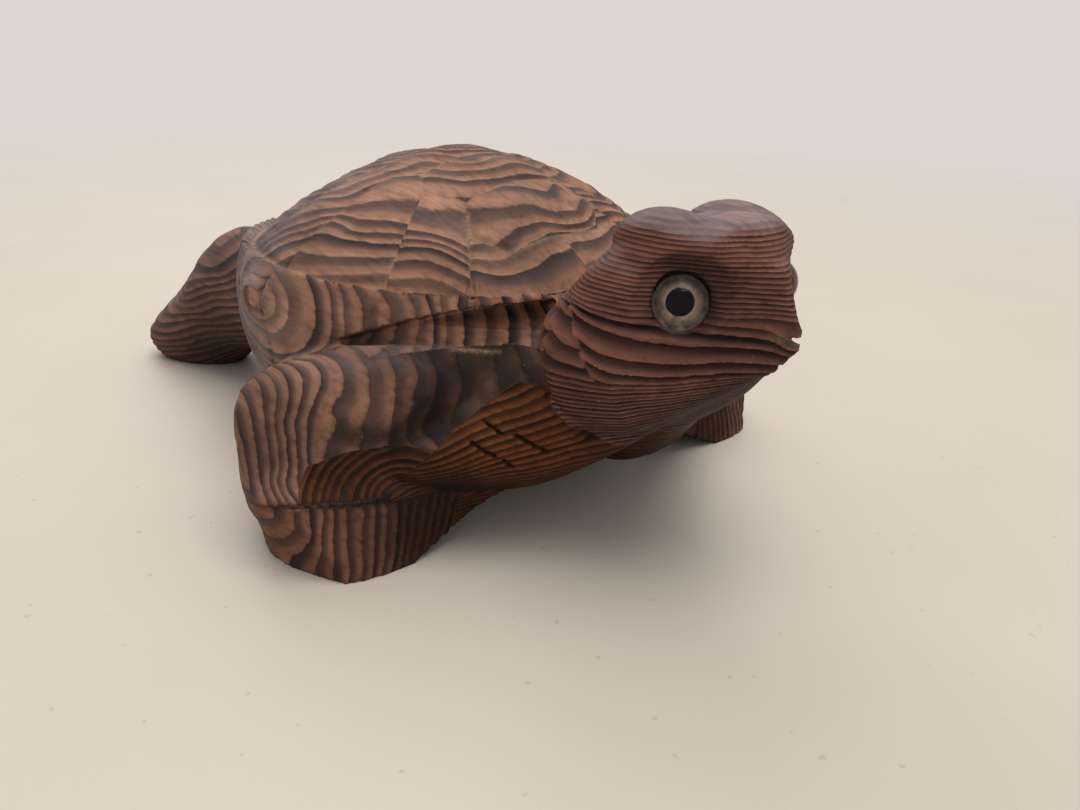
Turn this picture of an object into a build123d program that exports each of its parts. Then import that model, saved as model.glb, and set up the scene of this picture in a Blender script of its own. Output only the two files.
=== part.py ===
"""Carved wooden sea turtle with two inset glass eyes.

Millimetres, +Z up. The turtle faces -Y and its right side is -X. The origin is on the floor, midway along it.
"""

import math
import os

from build123d import *

os.makedirs("parts", exist_ok=True)

# Shell: a dome inside a skirt, egg-shaped in plan, tilted a little nose up
shell_centre_y = -5.7
shell_half_width = 45.5
shell_front = 53.0
shell_rear = 66.0
shell_top = 62.8
shell_tilt = 2.0
dome_shoulder = 19.0
skirt_width = 4.5
skirt_top = 43.5
skirt_belly = 31.0
skirt_bottom = 15.0
skirt_draft = 3.5
skirt_step = 1.2

# Lower edge of the skirt, seen from the side as y, z: it lifts over the front flippers
edge_rear = (70.0, 25.0)
edge_side = (8.0, 17.5)
edge_shoulder = (-20.0, 32.0)
edge_front = (-64.0, 45.0)

# Boss on each side of the skirt, its y taken from the shell's middle
boss_y = 5.5
boss_z = 36.0
boss_rise = 1.2
boss_half_width = 4.0
boss_half_length = 9.5
boss_half_height = 6.0

# Scutes: a row of six-sided plates along the back, y taken from the shell's middle, with seams that run from
# their corners out to the skirt and a low cushion on each plate
seam_width = 1.2
seam_depth = 0.8
cushion_rise = 0.6
cushion_half_length = 16.0
cushion_half_width = 12.0
cushion_half_height = 8.0
plate_x = -5.0
plate_first_y = -28.0
plate_pitch = 14.5
plate_count = 5
plate_half_width = 14.5
plate_joint_half_width = 10.0

# Belly block under the shell
belly_inset = 4.0
belly_bottom = 11.0
belly_round = 11.0

# Chest, a wedge that runs from the belly up under the chin: y, centre x, half width, bottom, top
chest_stations = (
    (-30.0, 0.0, 33.0, 14.0, 34.0),
    (-44.0, -2.0, 38.5, 10.5, 39.0),
    (-54.0, -2.5, 27.0, 13.0, 44.0),
    (-64.0, -3.0, 14.5, 20.5, 46.0),
    (-74.0, -3.5, 8.0, 29.5, 48.0),
)

# Head, carved a little to the right of the shell's middle, nape to beak: y, half width, chin, crown
head_x = -3.5
head_stations = (
    (-48.0, 11.0, 26.0, 41.0),
    (-55.0, 18.0, 23.5, 48.0),
    (-62.0, 19.5, 21.5, 55.5),
    (-69.0, 18.7, 25.0, 59.7),
    (-76.0, 15.0, 30.5, 60.5),
    (-81.3, 7.7, 35.4, 60.0),
    (-85.0, 2.4, 39.0, 55.0),
    (-89.0, 0.9, 43.2, 46.8),
)
brow_x = 7.5
brow_y = -70.0
brow_z = 55.3
brow_half_width = 6.5
brow_half_length = 9.5
brow_half_height = 6.0
mouth_corner_y = -79.0
mouth_z = 45.0
mouth_gap = 0.9
mouth_depth = 1.3

# Eyes, each in a shallow dish on the side of the face
eye_y = -78.0
eye_z = 49.5
eye_forward = 46.0
eye_upward = 6.0
dish_radius = 26.0
dish_depth = 2.0
glass_radius = 4.0
glass_rise = 3.3
glass_seat = 1.2
pupil_radius = 1.4
pupil_thickness = 0.5
cement_thickness = 0.6
stem_radius = 0.6
stem_length = 8.0
hole_radius = 1.0
hole_end = 0.8
glue_gap = 0.1

# Front flipper cut lengthwise: x, then its front face as ridge, bulge, hollow and crease in y, z
flipper_fronts = (
    (15.0, (-50.0, 37.0), (-53.0, 32.0), (-54.0, 27.0), (-53.0, 19.0)),
    (32.0, (-38.0, 35.0), (-45.0, 28.5), (-45.0, 19.0), (-47.5, 14.0)),
    (48.0, (-22.0, 32.0), (-35.0, 25.5), (-37.5, 17.0), (-43.5, 13.2)),
    (66.0, (-16.0, 14.0), (-24.0, 14.0), (-27.0, 13.0), (-32.0, 12.5)),
)

# The rest of the same four sections: toe, heel and back in y, z
flipper_soles = (
    ((-51.0, 11.0), (-34.0, 11.0), (-26.0, 30.0)),
    ((-45.5, 4.0), (-32.0, 4.0), (-20.0, 34.0)),
    ((-46.5, -3.0), (-28.0, -3.0), (-13.0, 28.0)),
    ((-38.0, -3.0), (-26.0, -3.0), (-10.0, 6.0)),
)

# Outline of the front flipper from above
flipper_inner_toe = (40.0, -52.0)
flipper_toe = (54.0, -45.0)
flipper_end = (61.5, -31.0)
flipper_back = (53.0, -15.0)

# Rear flipper, from the hip back to its end: y, centre x, half width, bottom, top
rear_stations = (
    (34.0, 20.0, 12.0, 10.0, 38.0),
    (50.0, 25.0, 13.0, 8.0, 40.0),
    (62.0, 28.5, 12.0, 4.0, 36.0),
    (73.0, 30.5, 12.0, -4.0, 26.0),
    (83.0, 34.0, 10.5, -4.0, 17.0),
    (89.0, 36.0, 6.0, 2.0, 11.0),
)

# Tail: y, radius, height
tail_stations = ((44.0, 9.0, 20.0), (60.0, 6.0, 17.0), (74.0, 1.5, 14.0))


def section(plane, points):
    """Face inside one smooth closed curve through the points."""
    with BuildSketch(plane) as sketch:
        with BuildLine():
            Spline(*points, periodic=True)
        make_face()
    return sketch.sketch


def both_sides(centre, bottom, half, top):
    """Points once round a section that is the same left and right of its centre."""
    mirrored = [(-x, z) for x, z in reversed(half)]
    return [(centre + x, z) for x, z in [(0, bottom), *half, (0, top), *mirrored]]


def across(y):
    """Upright plane across the turtle at y, with its own x and y along X and Z."""
    return Plane.XZ.offset(-y)


def egg_turning(profile, half_width, front, rear):
    """Profile turned about Z, then stretched along Y by one amount in front and another behind."""
    with BuildPart() as behind:
        revolve(profile, axis=Axis.Z, revolution_arc=180)
        scale(by=(1, rear / half_width, 1))
    with BuildPart() as ahead:
        revolve(profile, axis=-Axis.Z, revolution_arc=180)
        scale(by=(1, front / half_width, 1))
    with BuildPart() as egg:
        add(behind.part)
        add(ahead.part)
    return egg.part


dome_edge = shell_half_width - skirt_width
dome_height = shell_top - skirt_top + skirt_step


def shell_turning(inset):
    """Dome and skirt, brought in by the inset all round."""
    with BuildSketch(Plane.XZ) as profile:
        with BuildLine():
            top = Bezier(
                (0, shell_top - inset),
                (dome_shoulder - inset, shell_top - inset),
                (dome_edge - inset, shell_top - dome_height - inset),
            )
            lip = Line(top @ 1, (dome_edge + skirt_width / 2 - inset, skirt_top - inset))
            wall = Spline(
                lip @ 1,
                (shell_half_width - inset, skirt_belly),
                (shell_half_width - skirt_draft - inset, skirt_bottom),
            )
            Polyline(wall @ 1, (0, skirt_bottom), top @ 0)
        make_face()
    return egg_turning(profile.sketch, shell_half_width - inset, shell_front - inset, shell_rear - inset)


def egg_stretch(y):
    """Half width of the shell over its half length at y."""
    return shell_half_width / (shell_front if y < 0 else shell_rear)


def egg_reach(x, y):
    """Distance of x, y from the shell's middle, as if the shell were round."""
    return math.hypot(x, y * egg_stretch(y))


def on_dome(x, y, along):
    """Plane on the dome over x, y that faces out, its own x along the given direction."""
    reach = egg_reach(x, y)
    bend = 2 * dome_shoulder - dome_edge
    share = (dome_shoulder - math.sqrt(dome_shoulder**2 - bend * reach)) / bend
    fall = dome_height * share / reach
    outward = Vector(fall * x, fall * egg_stretch(y) ** 2 * y, dome_shoulder - bend * share)
    place = (x, y, shell_top - dome_height * share**2)
    return Plane(place, x_dir=outward.cross(along).cross(outward), z_dir=outward)


plate_rows = [plate_first_y + plate * plate_pitch for plate in range(plate_count)]
plate_places = [on_dome(plate_x, y, Vector(1, 0, 0)) for y in plate_rows]
with BuildSketch() as seams:
    for side in (-1, 1):
        corners = [Vector(plate_x + side * plate_half_width, y) for y in plate_rows]
        rims = [corner * (dome_edge / egg_reach(corner.X, corner.Y)) for corner in corners]
        for corner in corners:
            joint_x = plate_x + side * plate_joint_half_width
            joints = [Vector(joint_x, corner.Y + step * plate_pitch) for step in (-0.5, 0.5)]
            with BuildLine():
                Polyline(joints[0], corner, joints[1])
                Line(corner, corner + corner.normalized() * shell_rear)
            trace(line_width=seam_width)
        for plate in range(plate_count - 1):
            inner = (corners[plate] + corners[plate + 1]) / 2
            middle = (inner + (rims[plate] + rims[plate + 1]) / 2) / 2
            plate_places.append(on_dome(middle.X, middle.Y, middle - inner))
    for joint_y in [plate_rows[0] - plate_pitch / 2, *[y + plate_pitch / 2 for y in plate_rows]]:
        with BuildLine():
            Line((plate_x - plate_joint_half_width, joint_y), (plate_x + plate_joint_half_width, joint_y))
        trace(line_width=seam_width)

with BuildPart() as seam_cut:
    extrude(seams.sketch, amount=2 * shell_top)
    add(shell_turning(seam_depth), mode=Mode.SUBTRACT)

with BuildPart() as cushion:
    Sphere(cushion_half_height)
    scale(by=(cushion_half_length / cushion_half_height, cushion_half_width / cushion_half_height, 1))

with BuildPart() as boss:
    Sphere(boss_half_height)
    scale(by=(boss_half_width / boss_half_height, boss_half_length / boss_half_height, 1))

with BuildPart() as egg_shell:
    add(shell_turning(0))
    boss_x = shell_half_width + boss_rise - boss_half_width
    with Locations((-boss_x, boss_y, boss_z), (boss_x, boss_y, boss_z)):
        add(boss.part)
    with Locations([place.offset(cushion_rise - cushion_half_height) for place in plate_places]):
        add(cushion.part)
    add(seam_cut.part, mode=Mode.SUBTRACT)

with BuildSketch(Plane.YZ) as below_skirt:
    with BuildLine():
        edge = Spline(edge_rear, edge_side, edge_shoulder, edge_front)
        Polyline(edge @ 1, (edge_front[0], -skirt_bottom), (edge_rear[0], -skirt_bottom), edge @ 0)
    make_face()

with BuildPart() as shell:
    with Locations(Location((0, shell_centre_y, 0), (-shell_tilt, 0, 0))):
        add(egg_shell.part)
    extrude(below_skirt.sketch, amount=2 * shell_half_width, both=True, mode=Mode.SUBTRACT)

belly_half_width = shell_half_width - belly_inset
belly_roof = shell_top - belly_inset / 2

with BuildSketch(Plane.XZ) as belly_profile:
    with BuildLine():
        under = Line((0, belly_bottom), (belly_half_width - belly_round, belly_bottom))
        wall_foot = (belly_half_width, belly_bottom + belly_round)
        side_wall = Line(wall_foot, (belly_half_width, skirt_top - belly_inset))
        Spline(under @ 1, side_wall @ 0, tangents=[(1, 0), (0, 1)])
        roof = Bezier(side_wall @ 1, (belly_half_width / 2, belly_roof), (0, belly_roof))
        Line(roof @ 1, under @ 0)
    make_face()

belly_front = shell_front - belly_inset
belly_rear = shell_rear - belly_inset

with BuildPart() as belly:
    with Locations((0, shell_centre_y, 0)):
        add(egg_turning(belly_profile.sketch, belly_half_width, belly_front, belly_rear))


def chest_section(y, centre, half_width, bottom, top):
    """Chest cut across: broad and flat below, drawn in above."""
    height = top - bottom
    half = [
        (half_width * 0.75, bottom),
        (half_width, bottom + height * 0.16),
        (half_width * 0.74, bottom + height * 0.6),
        (half_width * 0.45, top - height * 0.08),
    ]
    return section(across(y), both_sides(centre, bottom, half, top))


def head_section(y, half_width, chin, crown):
    """Head cut across: full at the cheek and jaw, flat on top."""
    height = crown - chin
    half = [
        (half_width * 0.62, chin + height * 0.05),
        (half_width * 0.93, chin + height * 0.27),
        (half_width, chin + height * 0.55),
        (half_width * 0.88, chin + height * 0.84),
        (half_width * 0.5, crown - height * 0.02),
    ]
    return section(across(y), both_sides(head_x, chin, half, crown))


with BuildPart() as chest:
    loft([chest_section(*station) for station in chest_stations])

with BuildPart() as brow:
    Sphere(brow_half_width)
    scale(by=(1, brow_half_length / brow_half_width, brow_half_height / brow_half_width))

with BuildPart() as head:
    loft([head_section(*station) for station in head_stations])
    with Locations((head_x + brow_x, brow_y, brow_z), (head_x - brow_x, brow_y, brow_z)):
        add(brow.part)

beak_y = head_stations[-1][0]
eye_line = Axis((head_x, eye_y, eye_z), (1, 0, 0))
eye_hits = [point for face in head.faces() for point, _ in face.find_intersection_points(eye_line)]
eye_reach = max(point.X for point in eye_hits) - head_x

with BuildSketch(Plane.XY.offset(mouth_z - mouth_gap / 2)) as mouth_plan:
    with Locations((head_x, mouth_corner_y)):
        Rectangle(3 * eye_reach, 2 * (mouth_corner_y - beak_y), align=(Align.CENTER, Align.MAX))
    with BuildLine():
        Polyline(
            (head_x - eye_reach + mouth_depth, mouth_corner_y),
            (head_x, beak_y + mouth_depth),
            (head_x + eye_reach - mouth_depth, mouth_corner_y),
            close=True,
        )
    make_face(mode=Mode.SUBTRACT)


def eye_plane(side):
    """Plane of one eye's rim, at the bottom of its dish, facing out of the head."""
    facing = Vector(1, 0, 0).rotate(Axis.Y, -eye_upward).rotate(Axis.Z, -eye_forward)
    rim = Vector(eye_reach, eye_y, eye_z) - facing * dish_depth
    return Plane((head_x + side * rim.X, rim.Y, rim.Z), z_dir=(side * facing.X, facing.Y, facing.Z))


with BuildPart() as front_flipper:
    for (x, ridge, bulge, hollow, crease), sole in zip(flipper_fronts, flipper_soles):
        with BuildSketch(Plane.YZ.offset(x)):
            with BuildLine():
                Spline(ridge, bulge, hollow, crease)
                Polyline(crease, *sole, ridge)
            make_face()
    loft()
    with BuildSketch():
        with BuildLine():
            leading = Line((0, flipper_inner_toe[1]), flipper_inner_toe)
            rounded = Spline(leading @ 1, flipper_toe, flipper_end, flipper_back)
            Polyline(rounded @ 1, (flipper_inner_toe[0], 0), (0, 0), leading @ 0)
        make_face()
    extrude(amount=shell_top, both=True, mode=Mode.INTERSECT)


def rear_section(y, centre, half_width, bottom, top):
    """Rear flipper cut across: a rounded oblong, flatter below."""
    height = top - bottom
    half = [
        (half_width * 0.6, bottom + height * 0.12),
        (half_width, bottom + height * 0.5),
        (half_width * 0.7, bottom + height * 0.78),
    ]
    return section(across(y), both_sides(centre, bottom, half, top))


with BuildPart() as rear_flipper:
    loft([rear_section(*station) for station in rear_stations])

with BuildPart() as tail:
    for y, radius, height in tail_stations:
        with BuildSketch(across(y)):
            with Locations((0, height)):
                Circle(radius)
    loft()

bottom_up = (Align.CENTER, Align.CENTER, Align.MIN)
top_down = (Align.CENTER, Align.CENTER, Align.MAX)
socket_depth = glass_seat + cement_thickness
socket_radius = glass_radius + glue_gap

with BuildPart() as carved_body:
    add(belly.part)
    add(front_flipper.part)
    mirror(front_flipper.part, about=Plane.YZ)
    add(rear_flipper.part)
    mirror(rear_flipper.part, about=Plane.YZ)
    add(tail.part)
    add(chest.part)
    add(head.part)
    add(shell.part)
    split(bisect_by=Plane.XY)
    extrude(mouth_plan.sketch, amount=mouth_gap, mode=Mode.SUBTRACT)
    for side in (-1, 1):
        with Locations(eye_plane(side)):
            with Locations((0, 0, dish_radius)):
                Sphere(dish_radius, mode=Mode.SUBTRACT)
            with Locations((0, 0, -socket_depth)):
                Cylinder(socket_radius, socket_depth + dish_depth, align=bottom_up, mode=Mode.SUBTRACT)
                Cylinder(hole_radius + glue_gap, stem_length + hole_end, align=top_down, mode=Mode.SUBTRACT)

carved_body.part.label = "carved_body"
export_step(carved_body.part, "parts/carved_body.step")

for name, side in (("right", -1), ("left", 1)):
    rim = eye_plane(side)
    seat = rim.offset(-glass_seat)

    with BuildPart(seat) as eye_glass:
        Cylinder(glass_radius, glass_seat + glass_rise, align=bottom_up)
        dome_radius = (glass_radius**2 + glass_rise**2) / (2 * glass_rise)
        with Locations((0, 0, glass_seat + glass_rise - dome_radius)):
            Sphere(dome_radius, mode=Mode.INTERSECT)
        Cylinder(pupil_radius, pupil_thickness, align=bottom_up, mode=Mode.SUBTRACT)

    with BuildPart(seat) as eye_pupil:
        Cylinder(pupil_radius, pupil_thickness, align=bottom_up)

    with BuildPart(seat) as eye_cement:
        Cylinder(glass_radius, cement_thickness, align=top_down)
        Cylinder(hole_radius, socket_depth - glass_seat + stem_length + hole_end, align=top_down)
        Cylinder(stem_radius, stem_length, align=top_down, mode=Mode.SUBTRACT)

    with BuildPart(seat) as eye_stem:
        Cylinder(stem_radius, stem_length, align=top_down)

    for piece, node in (
        (eye_glass, f"{name}_eye_glass"),
        (eye_pupil, f"{name}_eye_pupil"),
        (eye_cement, f"{name}_eye_cement"),
        (eye_stem, f"{name}_eye_stem"),
    ):
        piece.part.label = node
        export_step(piece.part, f"parts/{node}.step")
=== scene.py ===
"""Dressed model of a carved wooden turtle with glass eyes, in the part's own frame.

Sizes are in millimetres unless a comment says metres. The turtle faces -Y and its right side is -X.
"""

import math

import bmesh
import bpy
import numpy as np
from mathutils import Matrix, Vector


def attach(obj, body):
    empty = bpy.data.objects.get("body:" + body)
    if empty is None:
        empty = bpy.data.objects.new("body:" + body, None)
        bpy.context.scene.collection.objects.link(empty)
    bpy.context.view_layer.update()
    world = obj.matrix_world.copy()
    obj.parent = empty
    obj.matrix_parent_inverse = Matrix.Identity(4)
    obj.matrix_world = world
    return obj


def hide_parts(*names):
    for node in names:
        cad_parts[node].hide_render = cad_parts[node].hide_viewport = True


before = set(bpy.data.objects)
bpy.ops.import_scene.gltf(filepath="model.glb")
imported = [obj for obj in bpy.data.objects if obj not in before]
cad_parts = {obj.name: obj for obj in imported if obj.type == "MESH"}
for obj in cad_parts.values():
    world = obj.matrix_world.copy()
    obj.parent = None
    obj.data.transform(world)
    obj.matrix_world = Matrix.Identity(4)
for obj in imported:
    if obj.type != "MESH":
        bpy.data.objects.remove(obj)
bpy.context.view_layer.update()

MM = 0.001

# Body's mesh: its even step, halved ahead of one y and above one z, and the rounds that even things out
VOXEL, FINE_Y, FINE_Z = 0.5, -33.0, 2.0
RELAX_ROUNDS, DOME_ROUNDS, BEND_ROUNDS, BORDER_ROUNDS, FADE_ROUNDS = 5, 24, 4, 8, 12

# Shell, as the part has it, and the boss that the skirt's rings run round
SHELL_Y, SHELL_HALF, SHELL_FRONT, SHELL_REAR, SHELL_TILT = -5.7, 45.5, 53.0, 66.0, math.radians(2.0)
DOME_TOP, DOME_SHOULDER, DOME_EDGE, DOME_FOOT = 62.8, 19.0, 41.0, 42.3
SKIRT_TOP = 45.5
SKIRT_EDGE = ((70.0, 25.0), (8.0, 17.5), (-20.0, 32.0), (-64.0, 45.0))
PLATE_X, PLATE_FIRST, PLATE_PITCH, PLATE_COUNT, PLATE_HALF, PLATE_JOINT = -5.0, -28.0, 14.5, 5, 14.5, 10.0
BOSS_X, BOSS_Y, BOSS_Z, BOSS_STRETCH = 44.5, 1.0, 37.0, 1.9

# Head: where it ends behind at each height, and its middle plane
HEAD_END = ((18, -69), (24, -64.5), (26, -61), (29, -57.5), (34, -55.6), (40, -53.5), (60, -50))
HEAD_X = -3.5

# Distance from that plane, y and z of the eye, the brow's edge, the hollow in front of the eye, and the cut
# that parts the cheek from the neck
EYE = (12.3, -78.0, 49.5)
BROW_LINE = (
    (14.0, -62.0, 57.5), (13.0, -69.2, 58.0), (11.6, -76.8, 57.2), (8.6, -79.8, 56.8), (5.0, -82.4, 56.2))
HOLLOW_LINE = (
    (15.0, -70.0, 54.0), (12.0, -77.5, 54.0), (8.0, -81.3, 52.5), (4.0, -84.7, 51.0), (0.0, -87.0, 51.0))
STOP_LINE = (
    (18.4, -51.0, 42.0), (18.0, -54.2, 36.0), (17.6, -55.4, 34.1),
    (17.2, -57.1, 29.3), (16.4, -60.6, 25.9), (14.3, -63.8, 23.9))

# Cusps of the cheek's ledges: y at one height, lean, and how far they rise
CUSP_Z = 43.6
CUSPS = ((-64.2, 0.5, 1.8), (-58.6, -0.4, 1.5))

# Chest: its upper edge where it runs out on the front flipper, by distance from the middle, the tip that its
# rings fan out from, and its drying checks seen from the front
CHEST_EDGE = ((24.0, 31.5), (28.0, 28.2), (33.5, 23.8), (38.6, 18.6), (41.5, 15.4), (44.3, 13.0))
CHEST_TIP_X, CHEST_TIP_Z = 58.0, 9.0
CHECKS = (
    ((-32.3, 22.4), (-31.3, 21.2), (-29.9, 20.3)),
    ((-29.7, 25.4), (-28.6, 24.1)),
    ((-26.8, 23.9), (-24.9, 22.5), (-23.0, 21.2)),
    ((-28.7, 19.5), (-27.4, 18.2)),
)

# Front flipper from the shoulder out: x, height of the bulge, height and y of the crease, y and height of the
# ridge. Then its worn ridge, the line of painted shade under its bulge, the middle of the hollow's arcs, and
# how far the toe draws in.
FLIPPER = np.array((
    (15.0, 32.0, 19.0, -53.0, -50.0, 37.0),
    (32.0, 28.5, 14.0, -47.5, -38.0, 35.0),
    (48.0, 25.5, 13.2, -43.5, -22.0, 32.0),
    (66.0, 14.0, 12.5, -32.0, -16.0, 14.0),
))
RIDGE_LINE = ((44.0, -17.4, 32.0), (40.6, -30.0, 34.0), (31.1, -39.9, 34.8), (23.5, -46.5, 34.8))
BULGE_SHADE_LINE = (
    (46.0, -37.0, 22.0), (41.0, -40.0, 21.5), (35.3, -43.1, 24.6), (31.0, -45.6, 28.0), (26.4, -47.7, 31.5))
HOLLOW_X, HOLLOW_Y, HOLLOW_Z = 41.0, -46.0, 12.0
TOE_DRAW = 2.8

# How far the chest, the front flippers and the rear flippers reach, by y, z and distance from the middle
CHEST_REAR_Y, CHEST_OUTER, CHEST_LOW_Z, CHEST_LOW_INNER = -36.0, 44.8, 12.4, 32.0
FRONT_REAR_Y, FRONT_INNER, FRONT_TOP_Z = 2.0, 14.0, 39.0
REAR_FRONT_Y, REAR_INNER = 32.0, 9.0

# Widths of the cuts and ridges
SEAM_WIDTH, LIP_WIDTH, RIDGE_WIDTH, CREASE_WIDTH = 0.95, 1.2, 1.2, 1.0
BROW_WIDTH, EYE_HOLLOW_WIDTH, STOP_WIDTH, CHECK_WIDTH = 2.2, 2.4, 0.8, 0.26

# Eyes: the glass with its seat and rise, the middle of the stem behind the seat, and the steps of a full turn
GLASS_RADIUS, GLASS_SEAT, GLASS_RISE, STEM_DEPTH, TURN_STEPS = 4.0, 1.2, 3.3, 4.0, 72

# Growth rings: a measure across the wood with the count of rings up to there, how far the head's rings stand
# apart by y, on both sides of one height, and a ring's width elsewhere, on the chest as an angle in radians
DOME_YEARS = ((20, 0), (34, 4), (44, 7), (52, 10), (58, 13.2), (64, 18), (70, 24))
HEAD_YEARS = (
    (15, -7), (35.3, 21), (36.3, 22), (38.3, 23), (40.9, 24),
    (44.3, 25), (46.2, 26), (48.4, 28.4), (57, 41), (66, 54))
HEAD_SPREAD = ((-88, 2.4), (-86, 2.0), (-80, 1.5), (-70, 1.0), (-57, 0.77), (-50, 0.72))
HEAD_SPREAD_Z = 41.0
FLIPPER_YEARS = ((0, 16), (50, 30.5), (70, 43))
SKIRT_YEAR, TOE_YEAR, HOLLOW_YEAR, REAR_YEAR, REST_YEAR = 2.4, 1.9, 1.6, 2.2, 1.6
CHEST_YEAR = 0.031


def smooth(x, low, high):
    """0 below low, 1 above high, eased between."""
    t = np.clip((x - low) / (high - low), 0, 1)
    return t * t * (3 - 2 * t)


def groove(d, width):
    """1 on a line, falling to 0 at about this distance from it."""
    return np.exp(-((d / width) ** 2))


def read_table(table, place):
    """Second number of a table of pairs at each place, with straight lines between its rows."""
    return np.interp(place, *np.array(table, float).T)


def weighed(*terms):
    """Sum of shares, each times its own amount."""
    return sum(amount * share for amount, share in terms)


def noise(points, size, seed):
    """Soft noise from -1 to 1 with features of about this size, which may differ by axis."""
    p = points / np.asarray(size, float)
    cell = np.floor(p).astype(np.int64)
    f = p - cell
    f = f * f * f * (f * (6 * f - 15) + 10)
    total = np.zeros(len(p))
    for corner in np.ndindex(2, 2, 2):
        c = cell + corner
        h = (c[:, 0] * 73856093 ^ c[:, 1] * 19349663 ^ c[:, 2] * 83492791 ^ seed * 2654435761) & 0xFFFFFFFF
        h = ((h ^ (h >> 13)) * 1274126177) & 0xFFFFFFFF
        h = ((h ^ (h >> 15)) * 2246822519) & 0xFFFFFFFF
        value = ((h ^ (h >> 16)) & 0xFFFF) / 32767.5 - 1
        total += value * np.prod(np.where(corner, f, 1 - f), axis=1)
    return total


def distance(points, line):
    """Distance from each point to a bent line."""
    best = np.full(len(points), np.inf)
    for a, b in zip(line[:-1], line[1:]):
        a, run = np.array(a, float), np.array(b, float) - np.array(a, float)
        t = np.clip((points - a) @ run / (run @ run), 0, 1)
        best = np.minimum(best, np.linalg.norm(points - a - t[:, None] * run, axis=1))
    return best


def uneven(count, amount, seed):
    """Ring count with the years made wide and narrow."""
    return count + amount * noise(np.stack([count, 0 * count, 0 * count], axis=1), 2.3, seed)


class Carving:
    """Points of an even mesh of the body, which the steps below carve in turn."""

    def __init__(self, mesh):
        self.mesh = mesh
        self.edges = np.empty(2 * len(mesh.edges), np.int32)
        mesh.edges.foreach_get("vertices", self.edges)
        self.edges = self.edges.reshape(-1, 2)
        self.count = np.bincount(self.edges.ravel(), minlength=len(mesh.vertices))
        self.p = np.empty(3 * len(mesh.vertices))
        mesh.vertices.foreach_get("co", self.p)
        self.p = self.p.reshape(-1, 3) / MM
        self.normals()

    def normals(self):
        """Writes the points to the mesh and reads its normals."""
        self.mesh.vertices.foreach_set("co", (self.p * MM).ravel())
        self.mesh.update()
        self.n = np.empty(self.p.size)
        self.mesh.vertex_normals.foreach_get("vector", self.n)
        self.n = self.n.reshape(-1, 3)

    def spread(self, values, rounds=1):
        """Mean of the values at each point's neighbours, taken so many times."""
        for _ in range(rounds):
            total = np.bincount(self.edges[:, 0], values[self.edges[:, 1]], len(self.p))
            total += np.bincount(self.edges[:, 1], values[self.edges[:, 0]], len(self.p))
            values = total / self.count
        return values

    def inward(self):
        """Way from each point to the middle of its neighbours."""
        return np.stack([self.spread(self.p[:, i]) for i in range(3)], axis=1) - self.p

    def relax(self, rounds):
        """Evens out the steps of the mesh, with no loss of bulk."""
        for _ in range(rounds):
            for share in (0.5, -0.52):
                self.p += share * self.inward()
        self.normals()

    def soften(self, share, rounds):
        """Rounds off the edges where the share is high."""
        for _ in range(rounds):
            self.p += share[:, None] * self.inward()
        self.normals()

    def sharpness(self):
        """How sharply the surface is bent outwards at each point, per millimetre."""
        run = self.p[self.edges[:, 1]] - self.p[self.edges[:, 0]]
        square = np.einsum("ij,ij->i", run, run)
        total = sum(np.bincount(self.edges[:, i], square, len(self.p)) for i in (0, 1))
        bend = -np.einsum("ij,ij->i", self.inward(), self.n) / (total / self.count)
        return self.spread(bend, BEND_ROUNDS)

    def push(self, depth):
        """Moves each point out along its normal."""
        self.p += self.n * depth[:, None]
        self.normals()


def even_mesh(node):
    """Even mesh of a CAD node, twice as fine on the head, the chest and the fronts of the flippers."""
    block = bpy.data.objects.new("block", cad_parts[node].data.copy())
    bpy.context.scene.collection.objects.link(block)
    form = bmesh.new()
    form.from_mesh(block.data)
    bmesh.ops.remove_doubles(form, verts=form.verts, dist=1e-6)
    form.to_mesh(block.data)
    form.free()
    remesh = block.modifiers.new("even", "REMESH")
    remesh.mode, remesh.voxel_size = "VOXEL", VOXEL * MM
    mesh = bpy.data.meshes.new_from_object(block.evaluated_get(bpy.context.evaluated_depsgraph_get()))
    bpy.data.objects.remove(block)
    form = bmesh.new()
    form.from_mesh(mesh)
    fine = [e for e in form.edges if all(v.co.y < FINE_Y * MM and v.co.z > FINE_Z * MM for v in e.verts)]
    bmesh.ops.subdivide_edges(form, edges=fine, cuts=1, use_grid_fill=True)
    form.to_mesh(mesh)
    form.free()
    return mesh


def shell_frame(p):
    """Place along the shell, reach from its middle as if it were round, and height, in the shell's tilt."""
    y, z = p[:, 1] - SHELL_Y, p[:, 2]
    c, s = math.cos(SHELL_TILT), math.sin(SHELL_TILT)
    along = y * c - z * s
    reach = np.hypot(p[:, 0], along * SHELL_HALF / np.where(along < 0, SHELL_FRONT, SHELL_REAR))
    return along, reach, y * s + z * c


def plate_corners(side):
    """Outer corners of the row of scutes, seen from above."""
    x = PLATE_X + side * PLATE_HALF
    return [np.array((x, PLATE_FIRST + plate * PLATE_PITCH)) for plate in range(PLATE_COUNT)]


def plan_seams():
    """Seams between the scutes, seen from above."""
    seams = []
    for side in (-1, 1):
        joint = PLATE_X + side * PLATE_JOINT
        for corner in plate_corners(side):
            seams.append(((joint, corner[1] - PLATE_PITCH / 2), corner, (joint, corner[1] + PLATE_PITCH / 2)))
            seams.append((corner, corner + corner / np.linalg.norm(corner) * SHELL_REAR))
    for plate in range(PLATE_COUNT + 1):
        y = PLATE_FIRST + (plate - 0.5) * PLATE_PITCH
        seams.append(((PLATE_X - PLATE_JOINT, y), (PLATE_X + PLATE_JOINT, y)))
    return seams


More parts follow.
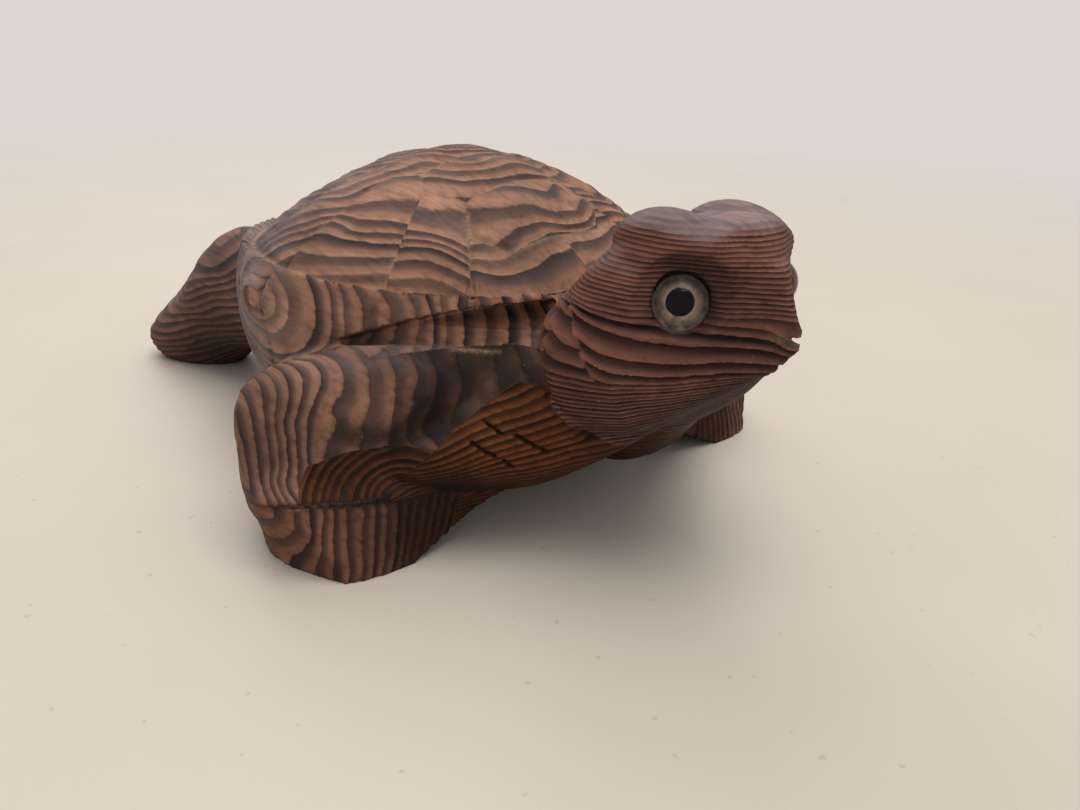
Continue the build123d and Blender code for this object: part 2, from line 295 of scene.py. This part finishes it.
def plate_numbers(x, along):
    """Number of the scute that each point lies on: the row first, then those to its right and left."""
    row = (along - PLATE_FIRST) / PLATE_PITCH
    plate = np.clip(np.round(row), 0, PLATE_COUNT - 1)
    width = PLATE_JOINT + (PLATE_HALF - PLATE_JOINT) * (1 - 2 * np.abs(row - plate))
    in_row = (np.abs(x - PLATE_X) < width) & (np.abs(row - plate) < 0.5)
    number = np.zeros(len(x), int)
    for i, side in enumerate((-1, 1)):
        first = PLATE_COUNT * (i + 1) + i
        passed = sum(side * (cx * (along - cy) - cy * (x - cx)) > 0 for cx, cy in plate_corners(side))
        number = np.where(side * (x - PLATE_X) > 0, first + passed, number)
    return np.where(in_row, plate.astype(int), number)


def regions(carving):
    """Masks of the shell's dome and skirt, the head, the chest, the front and rear flippers, and the rest."""
    x, y, z = carving.p.T
    ax = np.abs(x)
    _, reach, height = shell_frame(carving.p)
    t = np.linspace(0, 1, 60)
    dome_reach = 2 * t * (1 - t) * DOME_SHOULDER + t * t * DOME_EDGE
    dome_height = DOME_TOP * (1 - t * t) + DOME_FOOT * t * t
    roof = np.interp(reach, dome_reach, dome_height)
    edge = np.polyval(np.polyfit(*np.array(SKIRT_EDGE).T, 3), y)
    on_shell = (z > edge - 0.5) & (reach < SHELL_HALF + 0.9)
    dome = on_shell & (reach < DOME_EDGE + 0.6) & (height < roof + 1.3) & (height > roof - 3.0)
    skirt = on_shell & ~dome & (reach > SHELL_HALF - 5.5) & (height < SKIRT_TOP)
    shell = dome | skirt
    head = ~shell & (y < read_table(HEAD_END, z))
    low_chest = (z < read_table(CHEST_EDGE, ax)) & ((z > CHEST_LOW_Z) | (ax < CHEST_LOW_INNER))
    chest = ~shell & ~head & (y < CHEST_REAR_Y) & (ax < CHEST_OUTER) & low_chest
    front = ~shell & ~head & ~chest & (y < FRONT_REAR_Y) & (ax > FRONT_INNER) & (z < FRONT_TOP_Z)
    rear = ~shell & ~head & (y > REAR_FRONT_Y) & (ax > REAR_INNER)
    rest = ~(shell | head | chest | front | rear)
    masks = (dome, skirt, head, chest, front, rear, rest)
    shares = [carving.spread(mask.astype(float), BORDER_ROUNDS) for mask in masks]
    return [np.argmax(shares, axis=0) == i for i in range(len(shares))]


body_mesh = even_mesh("carved_body")
carving = Carving(body_mesh)
carving.relax(RELAX_ROUNDS)
dome, skirt, head, chest, front, rear, rest = regions(carving)
shell = dome | skirt

# These follow the points as the steps below carve them
p = carving.p
x, y, z = p.T

# Softened scutes between the seams, and a lip round the dome
_, reach, _ = shell_frame(p)
carving.soften(0.5 * dome * smooth(DOME_EDGE - reach, 1, 4), DOME_ROUNDS)
along, reach, height = shell_frame(p)
plan = np.stack([x, along], axis=1)
seam = np.min([distance(plan, line) for line in plan_seams()], axis=0)
seam_near = groove(seam, SEAM_WIDTH) * dome
lip_near = groove(reach - DOME_EDGE, LIP_WIDTH) * shell * smooth(height, 36, 39)
pillow = (1 - np.exp(-seam / 2.2)) * dome * smooth(DOME_EDGE - reach, 0, 3)

# Hollows and swellings that the knife leaves, and the sharp ridge and the crease of the front flipper
ax, hx = np.abs(x), np.abs(x - HEAD_X)
hand = noise(p, 11, 31) * (1 - head) * smooth(z, 1, 6)
bulge_z, crease_z, crease_y, ridge_y, ridge_z = (np.interp(ax, FLIPPER[:, 0], row) for row in FLIPPER.T[1:])
arm = np.stack([ax, y, z], axis=1)
ridge_near = distance(arm, RIDGE_LINE)
arm_ridge = groove(ridge_near, RIDGE_WIDTH) * front
crease = groove(np.hypot(z - crease_z, y - crease_y), CREASE_WIDTH) * front * smooth(ax, 33, 37)

# Brow, the hollow in front of the eye, the set-back snout, and the cheek's cusps one above the other
side = np.stack([hx, y, z], axis=1)
brow = groove(distance(side, BROW_LINE), BROW_WIDTH) * head * smooth(y, -84, -78)
eye_hollow = groove(distance(side, HOLLOW_LINE), EYE_HOLLOW_WIDTH) * head * smooth(y, -87, -81)
snout = smooth(-y, 79.5, 84.5) * smooth(z, 54, 56.5) * head
spike = np.zeros(len(p))
for cusp_y, lean, rise in CUSPS:
    past = cusp_y + lean * (z - CUSP_Z) - y
    spike += rise * np.exp(-np.maximum(past, 0) / 1.8 - np.maximum(-past, 0) / 0.35)
spike *= head * smooth(z, 35.0, 39.0) * smooth(-z, -49.0, -45.5)

# Cut between cheek and neck, and the drying checks in the chest
stop = groove(distance(side, STOP_LINE), STOP_WIDTH)
face_on = np.stack([x, z], axis=1)
check = np.max([groove(distance(face_on, line), CHECK_WIDTH) for line in CHECKS], axis=0) * chest

# How far all of these stand out, or are cut in
carving.push(weighed(
    (0.15, pillow), (0.2, seam_near), (-0.3, lip_near), (0.35, hand), (0.5, arm_ridge), (0.6, brow),
    (-0.9, eye_hollow), (-0.6, snout), (0.35, spike), (-1.1, stop), (-0.6, crease), (-0.9, check)))

# The toe draws in towards the floor at its outer end
draw_in = front * smooth(ax, 48, 60) * smooth(-z, -13, -1)
carving.p[:, 0] -= TOE_DRAW * np.sign(x) * draw_in
carving.normals()
sharp = carving.sharpness()

# Growth rings, counted outwards in each part of the block: at whole numbers the dark latewood ends sharply
ax = np.abs(x)
long_wave = noise(p, (17, 40, 15), 3)
wave = noise(p, (9, 17, 8), 5)
ripple = noise(p, (3.2, 7, 3), 8)

# On the dome the rings break at the seams, as each scute is carved to its own slant
number = plate_numbers(x, along)
slant, shift = np.random.default_rng(11).uniform(-1, 1, (2, number.max() + 1))[:, number]
slope = z + (0.26 + 0.14 * slant) * y + 1.8 * shift + 3.6 * long_wave + 1.6 * wave + 0.3 * ripple
dome_ring = uneven(read_table(DOME_YEARS, slope), 0.8, 41)

# On the skirt they run round the boss
about = np.linalg.norm(np.stack([ax - BOSS_X, (y - BOSS_Y) / BOSS_STRETCH, z - BOSS_Z], axis=1), axis=1)
skirt_ring = uneven(30 - (about + 0.9 * wave + 0.25 * ripple) / SKIRT_YEAR, 0.4, 43)

# On the head they lie level above the eye, step down the cheek in bold ledges and close up towards the beak
apart = read_table(HEAD_SPREAD, y)
level = z + (apart - 1) * (z - HEAD_SPREAD_Z) * smooth(-z, -48, -41) - spike + 0.35 * wave + 0.1 * ripple
head_ring = uneven(read_table(HEAD_YEARS, level), 0.2, 47)

# On the chest they fan out from its outer tip
fan = np.arctan2(z - CHEST_TIP_Z, CHEST_TIP_X - ax)
chest_ring = uneven((fan + 0.016 * wave + 0.003 * ripple) / CHEST_YEAR + 40, 0.3, 53)

# On the front flipper they cross the upper face and the toe, and lie in arcs in the hollow between
toe = front & (z <= crease_z)
upper = front & ~toe & ((z > 0.5 * bulge_z + 0.5 * crease_z) | (ax > 56.3 - 0.68 * (z - 13.3)))
hollow = front & ~upper & ~toe
behind = front & (z > 22) & ((y > ridge_y + 1.5) | (z > ridge_z + 0.2) & (ax < 41))
across = ax + 0.15 * z + 0.1 * y + 1.8 * wave + 0.5 * ripple
upper_ring = np.where(behind, skirt_ring, uneven(read_table(FLIPPER_YEARS, across), 0.5, 59))
toe_ring = uneven((ax + 0.18 * z + 0.7 * wave + 0.3 * ripple) / TOE_YEAR + 20, 0.4, 61)
arc = np.linalg.norm(np.stack([ax - HOLLOW_X, y - HOLLOW_Y, (z - HOLLOW_Z) * 1.3], axis=1), axis=1)
hollow_ring = uneven((arc + 0.6 * wave + 0.15 * ripple) / HOLLOW_YEAR + 20, 0.4, 67)

# On the rear flippers and underneath they run aslant
rear_ring = uneven((0.6 * ax + z + 0.15 * y + 1.2 * wave + 0.3 * ripple) / REAR_YEAR + 10, 0.5, 71)
low_ring = (0.5 * ax + z + 0.1 * y + 1.2 * long_wave + 0.6 * wave) / REST_YEAR + 30
rest_ring = np.where(z > 24, skirt_ring, low_ring)

# Each area with its ring count, the height of its brushed relief, and how red its wood is
terrace = smooth(level, 35.5, 38) * smooth(-level, -48, -45.5)
beak = smooth(y, -88.5, -84.5)
head_relief = (0.14 + 0.82 * terrace) * beak * (1 - 0.75 * smooth(carving.n[:, 2], 0.45, 0.85))
masks, *columns = zip(
    (dome, dome_ring, 0.22, 0.0),
    (skirt, skirt_ring, 0.26, 0.0),
    (head, head_ring, head_relief, 1.0),
    (chest, chest_ring, 0.12, 0.75),
    (upper, upper_ring, 0.16, 0.2),
    (hollow, hollow_ring, 0.26, 0.75),
    (toe, toe_ring, 0.36, 0.5),
    (rear, rear_ring, 0.24, 0.45),
    (rest, rest_ring, 0.14, 0.4),
)
ring, relief, red = (np.select(masks, [np.broadcast_to(v, len(p)) for v in column]) for column in columns)

# Brushing wears the soft wood: a low ridge along each dark edge, and on the head overhanging ledges
for mask in masks:
    share = carving.spread(mask.astype(float), FADE_ROUNDS)
    relief *= np.where(mask, smooth(share, 0.5, 0.95), 1)
phase = ring - np.floor(ring)
step = np.abs(ring[carving.edges[:, 0]] - ring[carving.edges[:, 1]])
steep = np.zeros(len(p))
np.maximum.at(steep, carving.edges[:, 0], step)
np.maximum.at(steep, carving.edges[:, 1], step)
ledge = smooth(phase, 0.0, 0.08) * smooth(-phase, -0.97, -0.3) - 0.5
ridge = np.where(head, ledge, smooth(phase, 0.2, 0.84) * smooth(-phase, -1.0, -0.9) - 0.45)
upward = carving.n[:, 2].copy()
carving.push(relief * ridge * np.clip(1.7 - 2.2 * steep, 0, 1) * smooth(z, 0.3, 1.6))
carving.p[:, 2] = np.maximum(carving.p[:, 2], 0)
carving.normals()

# Darker burnt tones on the flippers, in the hollow and underneath, dark lines in the cut between cheek and
# neck and in the chest's checks, and painted shade: in the crease, on faces turned down, round the eye and in
# the hollow in front of it, at the back of the head, low on the chest, under the flipper's bulge and at the
# toe's inner end
ax, hx = np.abs(x), np.abs(x - HEAD_X)
eye = np.linalg.norm(np.stack([hx, y, z], axis=1) - EYE, axis=1)
# Surfaces that face down, which get painted shade
under = smooth(-upward, 0.0, 0.75)
# Painted shade in a band under the front flipper's bulge
bulge_shade = (upper | hollow) * groove(distance(arm, BULGE_SHADE_LINE), 2.8)
inner = upper * ~behind * smooth(-ax, -43, -32)
char_and_shade = np.clip(weighed(
    (0.8, stop), (0.9, check), (0.8, crease), (0.55, under * (1 - 0.5 * behind)),
    (0.3, head * smooth(y, -57, -52)), (0.3, eye_hollow), (0.4, head * groove(eye - 4.4, 0.8)),
    (0.32, head * groove(eye - 5, 3.0) * smooth(z, 45.5, 48.5)), (0.45, chest * smooth(-z, -22, -11)),
    (0.85, bulge_shade), (0.9, inner), (0.12, upper), (0.28, upper * smooth(ax, 48, 56)), (0.25, hollow),
    (0.3, toe), (0.35, toe * smooth(-ax, -48, -42)), (0.35, rear), (0.2, rest),
    (0.12, np.maximum(wave, 0))), 0, 1)

# Pale worn edges: along the seams, round the dome, on the flipper's ridge and edges, and at the mouth
wear = np.clip(weighed(
    (0.8, groove(seam, 0.5) * dome * smooth(noise(p, 5, 21), -0.4, 0.4)),
    (0.85, groove(reach - DOME_EDGE - 0.4, 0.5) * shell * smooth(height, 37, 40)),
    (0.9, front * groove(ridge_near, 0.55) * smooth(noise(p, 4, 25), -0.6, 0.2)),
    (0.5, front * smooth(sharp, 0.10, 0.22) * smooth(z, 15, 17) * smooth(noise(p, 3, 27), -0.2, 0.3)),
    (0.4, head * groove(z - 45, 0.8) * smooth(-y, 84, 87))), 0, 1)

# Painted sheen, the grey reflection of the bright window behind, on the rear of the shell and on faces turned
# up;
# and where the wood is warm and dark
painted_sheen = np.clip(weighed(
    (0.9, dome * smooth(y, -8, 28)), (0.9, skirt * smooth(y, -16, 14)),
    (0.8, head * smooth(upward, 0.5, 0.9)), (0.35, rear * smooth(upward, 0, 0.8)),
    (0.4, upper * smooth(upward, 0.4, 0.9) * smooth(-ax, -56, -40))), 0, 1)
warm = np.select((chest, hollow, toe, rest), (1.0, 1.0, 0.35 + 0.65 * smooth(-ax, -46, -40), 0.5), 0.0)

values_by_name = {"ring": ring, "char_and_shade": char_and_shade, "wear": wear, "red": red, "painted_sheen": painted_sheen, "warm": warm}
for name, values in values_by_name.items():
    layer = body_mesh.attributes.new(name, "FLOAT", "POINT")
    layer.data.foreach_set("value", values.astype(np.float32))
body_mesh.polygons.foreach_set("use_smooth", np.ones(len(body_mesh.polygons), bool))
body_mesh.materials.clear()

body = bpy.data.objects.new("brushed_wood_body", body_mesh)
bpy.context.scene.collection.objects.link(body)
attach(body, "root")
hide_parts("carved_body")


class Material:
    """Node material with a few shorthands."""

    def __init__(self, name):
        self.data = bpy.data.materials.new(name)
        self.data.use_nodes = True
        self.tree = self.data.node_tree
        self.shader = self.tree.nodes["Principled BSDF"]

    def node(self, kind, **settings):
        node = self.tree.nodes.new(kind)
        for key, value in settings.items():
            setattr(node, key, value)
        return node

    def put(self, socket, value):
        """Links the socket to an output, or sets it, a colour with its alpha."""
        if isinstance(value, bpy.types.NodeSocket):
            self.tree.links.new(value, socket)
        elif socket.type == "RGBA":
            socket.default_value = (*value, 1)
        else:
            socket.default_value = value

    def set(self, **values):
        for key, value in values.items():
            self.put(self.shader.inputs[key.replace("_", " ")], value)

    def place(self):
        """The object's own coordinates, in metres."""
        return self.node("ShaderNodeTexCoord").outputs["Object"]

    def reach(self):
        """Distance from the object's origin, in metres."""
        length = self.node("ShaderNodeVectorMath", operation="LENGTH")
        self.put(length.inputs[0], self.place())
        return length.outputs["Value"]

    def attribute(self, name):
        return self.node("ShaderNodeAttribute", attribute_name=name).outputs["Fac"]

    def math(self, operation, *values, clamp=False):
        node = self.node("ShaderNodeMath", operation=operation, use_clamp=clamp)
        for socket, value in zip(node.inputs, values):
            self.put(socket, value)
        return node.outputs[0]

    def ramp(self, value, *stops):
        """Colours, or greys given as one number, at their places from 0 to 1."""
        node = self.node("ShaderNodeValToRGB")
        elements = node.color_ramp.elements
        while len(elements) < len(stops):
            elements.new(0.5)
        for element, (place, colour) in zip(elements, stops):
            element.position = place
            element.color = (*colour, 1) if isinstance(colour, tuple) else (colour, colour, colour, 1)
        self.put(node.inputs[0], value)
        return node.outputs[0]

    def mix(self, share, a, b, blend="MIX"):
        node = self.node("ShaderNodeMix", data_type="RGBA", blend_type=blend)
        for socket, value in ((node.inputs[0], share), (node.inputs[6], a), (node.inputs[7], b)):
            self.put(socket, value)
        return node.outputs[2]

    def noise(self, scale, stretch=(1, 1, 1), detail=3.0):
        """Noise on the object's own coordinates, so many features to the metre."""
        mapping = self.node("ShaderNodeMapping")
        self.put(mapping.inputs["Vector"], self.place())
        self.put(mapping.inputs["Scale"], stretch)
        node = self.node("ShaderNodeTexNoise")
        self.put(node.inputs["Vector"], mapping.outputs[0])
        for key, value in (("Scale", scale), ("Detail", detail), ("Roughness", 0.55)):
            self.put(node.inputs[key], value)
        return node.outputs["Fac"]

    def bump(self, height, depth, strength, under=None):
        """Bump so deep in metres, on top of another one if it is given."""
        node = self.node("ShaderNodeBump")
        for key, value in (("Height", height), ("Distance", depth), ("Strength", strength)):
            self.put(node.inputs[key], value)
        if under:
            self.put(node.inputs["Normal"], under)
        return node.outputs[0]


def wood_material():
    """Burnt and brushed cedar: soft early wood that darkens to a sharp late edge with each ring."""
    wood = Material("burnt_brushed_cedar")
    fibre = wood.noise(900, (1, 0.16, 1), 4)
    blotch = wood.noise(70, (1, 0.5, 1), 3)
    fine = wood.noise(2600, (1, 0.4, 1), 2)
    count = wood.math("ADD", wood.attribute("ring"), wood.math("MULTIPLY", fibre, 0.2))
    turn = wood.math("FRACT", count)
    year = wood.node("ShaderNodeTexWhiteNoise", noise_dimensions="1D")
    wood.put(year.inputs["W"], wood.math("FLOOR", count))
    shell_depth = wood.math("MULTIPLY_ADD", year.outputs["Value"], 0.4, 0.6)
    head_depth = wood.math("MULTIPLY_ADD", year.outputs["Value"], 0.25, 0.75)

    early_shell, early_head = (0.38, 0.20, 0.13), (0.29, 0.13, 0.092)
    shell_tone = wood.ramp(
        turn, (0.0, (0.27, 0.135, 0.09)), (0.14, early_shell), (0.42, (0.32, 0.165, 0.115)),
        (0.58, (0.13, 0.082, 0.072)), (0.78, (0.045, 0.037, 0.042)), (0.95, (0.018, 0.015, 0.018)),
        (1.0, (0.14, 0.075, 0.052)))
    head_tone = wood.ramp(
        turn, (0.0, (0.17, 0.075, 0.053)), (0.10, early_head), (0.38, (0.21, 0.092, 0.066)),
        (0.60, (0.075, 0.038, 0.031)), (0.78, (0.017, 0.010, 0.009)), (0.97, (0.006, 0.004, 0.0035)),
        (1.0, (0.05, 0.024, 0.017)))
    shell_tone = wood.mix(shell_depth, early_shell, shell_tone)
    head_tone = wood.mix(head_depth, early_head, head_tone)
    colour = wood.mix(wood.attribute("red"), shell_tone, head_tone)
    # Painted sheen: the grey reflection of the window
    colour = wood.mix(wood.math("MULTIPLY", wood.attribute("painted_sheen"), 0.72), colour, (0.235, 0.195, 0.20))
    colour = wood.mix(wood.attribute("warm"), colour, wood.mix(1.0, colour, (0.46, 0.32, 0.17), "MULTIPLY"))
    colour = wood.mix(1.0, colour, wood.ramp(blotch, (0.3, 0.66), (0.7, 1.25)), "MULTIPLY")
    colour = wood.mix(0.8, colour, wood.ramp(fibre, (0.3, 0.62), (0.5, 1.0), (0.72, 1.3)), "MULTIPLY")

    # Burnt tones, dark lines and painted shade, made patchy, in near-black
    patchy = wood.ramp(blotch, (0.3, 1.0), (0.72, 0.7))
    char_and_shade = wood.math("MULTIPLY", wood.attribute("char_and_shade"), patchy, clamp=True)
    colour = wood.mix(char_and_shade, colour, (0.010, 0.007, 0.006))
    flaky = wood.ramp(fine, (0.36, 0.25), (0.6, 1.0))
    wear = wood.math("MULTIPLY", wood.attribute("wear"), flaky, clamp=True)
    colour = wood.mix(wear, colour, (0.36, 0.23, 0.155))
    dust = wood.ramp(wood.noise(2300, detail=1), (0.78, 0.0), (0.84, 0.4))
    colour = wood.mix(dust, colour, (0.45, 0.40, 0.36))

    rough = wood.ramp(turn, (0.0, 0.7), (0.5, 0.66), (0.85, 0.5), (1.0, 0.62))
    late_edge = wood.ramp(turn, (0.0, 0.0), (0.3, 0.15), (0.84, 1.0), (0.95, 1.0), (1.0, 0.0))
    grain = wood.bump(fibre, 0.00022, 0.55)
    grain = wood.bump(fine, 0.00008, 0.4, grain)
    grain = wood.bump(late_edge, 0.00025, 0.5, grain)
    wood.set(Base_Color=colour, Roughness=rough, Normal=grain, Specular_IOR_Level=0.1)
    return wood.data


def glass_material():
    glass = Material("clear_eye_glass")
    rough = glass.ramp(glass.noise(500, detail=2), (0.4, 0.01), (0.7, 0.05))
    glass.set(Base_Color=(0.87, 0.85, 0.82), Roughness=rough, IOR=1.25, Transmission_Weight=1.0)
    return glass.data


def pupil_material():
    pupil = Material("black_pupil")
    mottle = pupil.noise(1800, detail=2)
    tone = pupil.ramp(mottle, (0.35, (0.0015, 0.0015, 0.002)), (0.75, (0.004, 0.004, 0.006)))
    pupil.set(Base_Color=tone, Roughness=0.4, Specular_IOR_Level=0.0)
    return pupil.data


def cement_material():
    """Gritty glue with painted light: pale round the pupil and lightened there for the light that the glass
    gathers, a painted caustic below the pupil, and a lighter rim as a painted reflection at the glass's edge.
    """
    cement = Material("eye_cement")
    to_rim = 1 / (GLASS_RADIUS * MM)
    parts = cement.node("ShaderNodeSeparateXYZ")
    cement.put(parts.inputs[0], cement.place())
    lower = cement.math("MULTIPLY_ADD", parts.outputs["Y"], -to_rim / 2, 0.5)
    grit = cement.noise(700, detail=4)
    radius = cement.math("MULTIPLY_ADD", grit, 0.3, cement.math("MULTIPLY", cement.reach(), to_rim))
    # Glue by radius: the pale ring round the pupil is the glue lightened by painted light, and the lighter
    # last stop is a painted reflection at the glass's edge
    tone = cement.ramp(
        radius, (0.44, (0.28, 0.20, 0.145)), (0.56, (0.52, 0.40, 0.31)), (0.68, (0.21, 0.155, 0.11)),
        (0.82, (0.075, 0.057, 0.042)), (0.95, (0.12, 0.096, 0.075)))
    tone = cement.mix(1.0, tone, cement.ramp(grit, (0.38, 0.3), (0.62, 1.35)), "MULTIPLY")
    # Painted caustic: brighter towards the bottom, where the glass focuses the light from above
    tone = cement.mix(1.0, tone, cement.ramp(lower, (0.25, 0.75), (0.6, 1.0), (0.85, 1.9)), "MULTIPLY")
    cement.set(Base_Color=tone, Roughness=0.6, Normal=cement.bump(cement.noise(1500), 0.0002, 0.5))
    return cement.data


def stem_material():
    stem = Material("drawn_wire")
    drawn = stem.noise(2500, (1, 1, 0.1), 2)
    tone = stem.ramp(drawn, (0.3, (0.30, 0.30, 0.31)), (0.7, (0.52, 0.52, 0.53)))
    stem.set(Base_Color=tone, Metallic=1.0, Roughness=stem.ramp(drawn, (0.3, 0.35), (0.7, 0.5)))
    return stem.data


# Eye pieces, turned from profiles of radius and height above the seat, where the glass meets the cement
dome_radius = (GLASS_RADIUS**2 + GLASS_RISE**2) / (2 * GLASS_RISE)
dome_middle = GLASS_SEAT + GLASS_RISE - dome_radius
dome_arc = np.linspace(math.asin((GLASS_SEAT - dome_middle) / dome_radius), math.pi / 2, 26)[:-1]
glass_profile = [(0, 0), (2.0, 0), (3.85, 0), (3.97, 0.04), (4.0, 0.15), (4.0, 1.1)]
glass_profile += [(dome_radius * math.cos(a), dome_middle + dome_radius * math.sin(a)) for a in dome_arc]
glass_profile += [(0, GLASS_SEAT + GLASS_RISE)]
pupil_profile = [(0, 0.56), (0.9, 0.55), (1.35, 0.5), (1.55, 0.42), (1.6, 0.3), (1.6, 0.03), (0, 0.03)]
cement_profile = [
    (0, 0.015), (1.0, 0.015), (2.0, 0.015), (3.0, 0.015), (3.9, 0.015),
    (3.97, -0.05), (3.97, -0.58), (1.0, -0.6), (1.0, -8.7), (0, -8.7)]


def node_middle(name):
    """Middle of a CAD node's box, in metres."""
    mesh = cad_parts[name].data
    points = np.empty(3 * len(mesh.vertices))
    mesh.vertices.foreach_get("co", points)
    points = points.reshape(-1, 3)
    return (points.min(axis=0) + points.max(axis=0)) / 2


def eye_seat(name):
    """Frame of one eye, with its middle in the seat and Z facing out along the stem behind it."""
    middle = node_middle(f"{name}_eye_stem")
    facing = Vector(node_middle(f"{name}_eye_pupil") - middle).normalized()
    turn = facing.to_track_quat("Z", "Y").to_matrix().to_4x4()
    return Matrix.Translation(Vector(middle) + facing * STEM_DEPTH * MM) @ turn


def turned(name, profile, seat, node, finish):
    """Piece turned from a profile, from the axis out and back to it."""
    form = bmesh.new()
    rings = []
    for radius, height in profile:
        count = 1 if radius == 0 else TURN_STEPS
        turns = [2 * math.pi * i / count for i in range(count)]
        places = [(radius * math.cos(a) * MM, radius * math.sin(a) * MM, height * MM) for a in turns]
        rings.append([form.verts.new(place) for place in places])
    for a, b in zip(rings[:-1], rings[1:]):
        for i in range(max(len(a), len(b))):
            corners = [a[i % len(a)], a[(i + 1) % len(a)], b[(i + 1) % len(b)], b[i % len(b)]]
            form.faces.new(dict.fromkeys(corners))
    bmesh.ops.recalc_face_normals(form, faces=form.faces)
    mesh = bpy.data.meshes.new(name)
    form.to_mesh(mesh)
    form.free()
    mesh.polygons.foreach_set("use_smooth", np.ones(len(mesh.polygons), bool))
    mesh.materials.append(finish)
    piece = bpy.data.objects.new(name, mesh)
    piece.matrix_world = seat
    bpy.context.scene.collection.objects.link(piece)
    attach(piece, "root")
    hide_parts(node)


eye_pieces = (
    ("glass", glass_profile, glass_material()),
    ("pupil", pupil_profile, pupil_material()),
    ("cement", cement_profile, cement_material()),
)
body_mesh.materials.append(wood_material())
wire = stem_material()
for name in ("right", "left"):
    seat = eye_seat(name)
    for piece, profile, finish in eye_pieces:
        turned(f"{name}_{piece}_turned", profile, seat, f"{name}_eye_{piece}", finish)
    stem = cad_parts[f"{name}_eye_stem"]
    stem.data.materials.clear()
    stem.data.materials.append(wire)


# Table top and backdrop: half the floor's side, and how far off it passes into the backdrop, all in metres
BACKDROP = (0.73, 0.675, 0.635)
FLOOR_HALF, FLOOR_NEAR, FLOOR_FAR = 6.0, 0.22, 0.85


def seen_directly(tree):
    """1 for what the camera sees, also in or through glass, and 0 for light on its way to a surface."""
    path = tree.nodes.new("ShaderNodeLightPath")
    seen = path.outputs["Is Camera Ray"]
    for kind in ("Is Glossy Ray", "Is Transmission Ray"):
        either = tree.nodes.new("ShaderNodeMath")
        either.operation = "MAXIMUM"
        tree.links.new(seen, either.inputs[0])
        tree.links.new(path.outputs[kind], either.inputs[1])
        seen = either.outputs[0]
    return seen


def floor_material():
    top = Material("pale_table_top")
    cloud = top.noise(9)
    fleck = top.ramp(top.noise(420, detail=1), (0.735, 0.0), (0.765, 0.35))
    colour = top.ramp(cloud, (0.3, (0.67, 0.59, 0.50)), (0.7, (0.715, 0.635, 0.545)))
    top.set(Base_Color=top.mix(fleck, colour, (0.42, 0.35, 0.27)), Roughness=0.5)
    far = top.ramp(top.reach(), (FLOOR_NEAR, 0.0), (FLOOR_FAR, 1.0))
    backdrop = top.node("ShaderNodeEmission")
    top.put(backdrop.inputs["Color"], BACKDROP)
    blend = top.node("ShaderNodeMixShader")
    top.put(blend.inputs[0], top.math("MULTIPLY", far, seen_directly(top.tree)))
    top.put(blend.inputs[1], top.shader.outputs[0])
    top.put(blend.inputs[2], backdrop.outputs[0])
    top.put(top.tree.nodes["Material Output"].inputs["Surface"], blend.outputs[0])
    return top.data


floor_mesh = bpy.data.meshes.new("table_top")
form = bmesh.new()
bmesh.ops.create_grid(form, x_segments=1, y_segments=1, size=FLOOR_HALF)
form.to_mesh(floor_mesh)
form.free()
floor_mesh.materials.append(floor_material())
floor = bpy.data.objects.new("table_top", floor_mesh)
bpy.context.scene.collection.objects.link(floor)

# Soft light from a bright room: an even world, a wide window behind and a lamp on the ceiling
scene = bpy.context.scene
scene.view_settings.view_transform = "Standard"
world = bpy.data.worlds.new("room")
scene.world = world
world.use_nodes = True
tree = world.node_tree
sky = tree.nodes["Background"]
sky.inputs["Color"].default_value = (0.98, 0.99, 1.0, 1)
sky.inputs["Strength"].default_value = 0.5
seen = tree.nodes.new("ShaderNodeBackground")
seen.inputs["Color"].default_value = (*BACKDROP, 1)
blend = tree.nodes.new("ShaderNodeMixShader")
tree.links.new(seen_directly(tree), blend.inputs[0])
tree.links.new(sky.outputs[0], blend.inputs[1])
tree.links.new(seen.outputs[0], blend.inputs[2])
tree.links.new(blend.outputs[0], tree.nodes["World Output"].inputs["Surface"])


def softbox(name, place, aim, size, power, colour):
    """Square area light at a place in metres, turned towards the aim."""
    light = bpy.data.lights.new(name, "AREA")
    light.shape, light.size, light.energy, light.color = "SQUARE", size, power, colour
    lamp = bpy.data.objects.new(name, light)
    lamp.location = place
    lamp.rotation_euler = (Vector(aim) - Vector(place)).to_track_quat("-Z", "Y").to_euler()
    scene.collection.objects.link(lamp)


softbox("window", (0.35, 0.8, 0.95), (0, 0, 0.03), size=1.0, power=4.6, colour=(1.0, 0.98, 0.96))
softbox("ceiling", (0.0, -0.25, 1.25), (0, 0, 0.02), size=0.9, power=7.6, colour=(1.0, 0.96, 0.9))

# Camera where the photograph was taken from, with its focal length in the photograph's pixels
CAMERA_PLACE = (-102.15, -147.78, 79.63)
CAMERA_PITCH, CAMERA_ROLL, CAMERA_AZIMUTH = math.radians(22.826), math.radians(2.309), math.radians(-40.963)
SENSOR_WIDTH, FOCAL_PIXELS, PHOTO_PIXELS = 36.0, 811, 1080
CLIP_START = 10.0

reach_back = math.cos(CAMERA_PITCH)
back = Vector((
    math.sin(CAMERA_AZIMUTH) * reach_back, -math.cos(CAMERA_AZIMUTH) * reach_back, math.sin(CAMERA_PITCH)))
level_right = Vector((math.cos(CAMERA_AZIMUTH), math.sin(CAMERA_AZIMUTH), 0))
level_up = back.cross(level_right)
right = math.cos(CAMERA_ROLL) * level_right + math.sin(CAMERA_ROLL) * level_up
up = math.cos(CAMERA_ROLL) * level_up - math.sin(CAMERA_ROLL) * level_right
camera_data = bpy.data.cameras.new("camera")
camera_data.sensor_width, camera_data.lens = SENSOR_WIDTH, SENSOR_WIDTH * FOCAL_PIXELS / PHOTO_PIXELS
camera_data.clip_start = CLIP_START * MM
camera = bpy.data.objects.new("camera", camera_data)
turn = Matrix((right, up, back)).transposed().to_4x4()
camera.matrix_world = Matrix.Translation(Vector(CAMERA_PLACE) * MM) @ turn
scene.collection.objects.link(camera)
scene.camera = camera
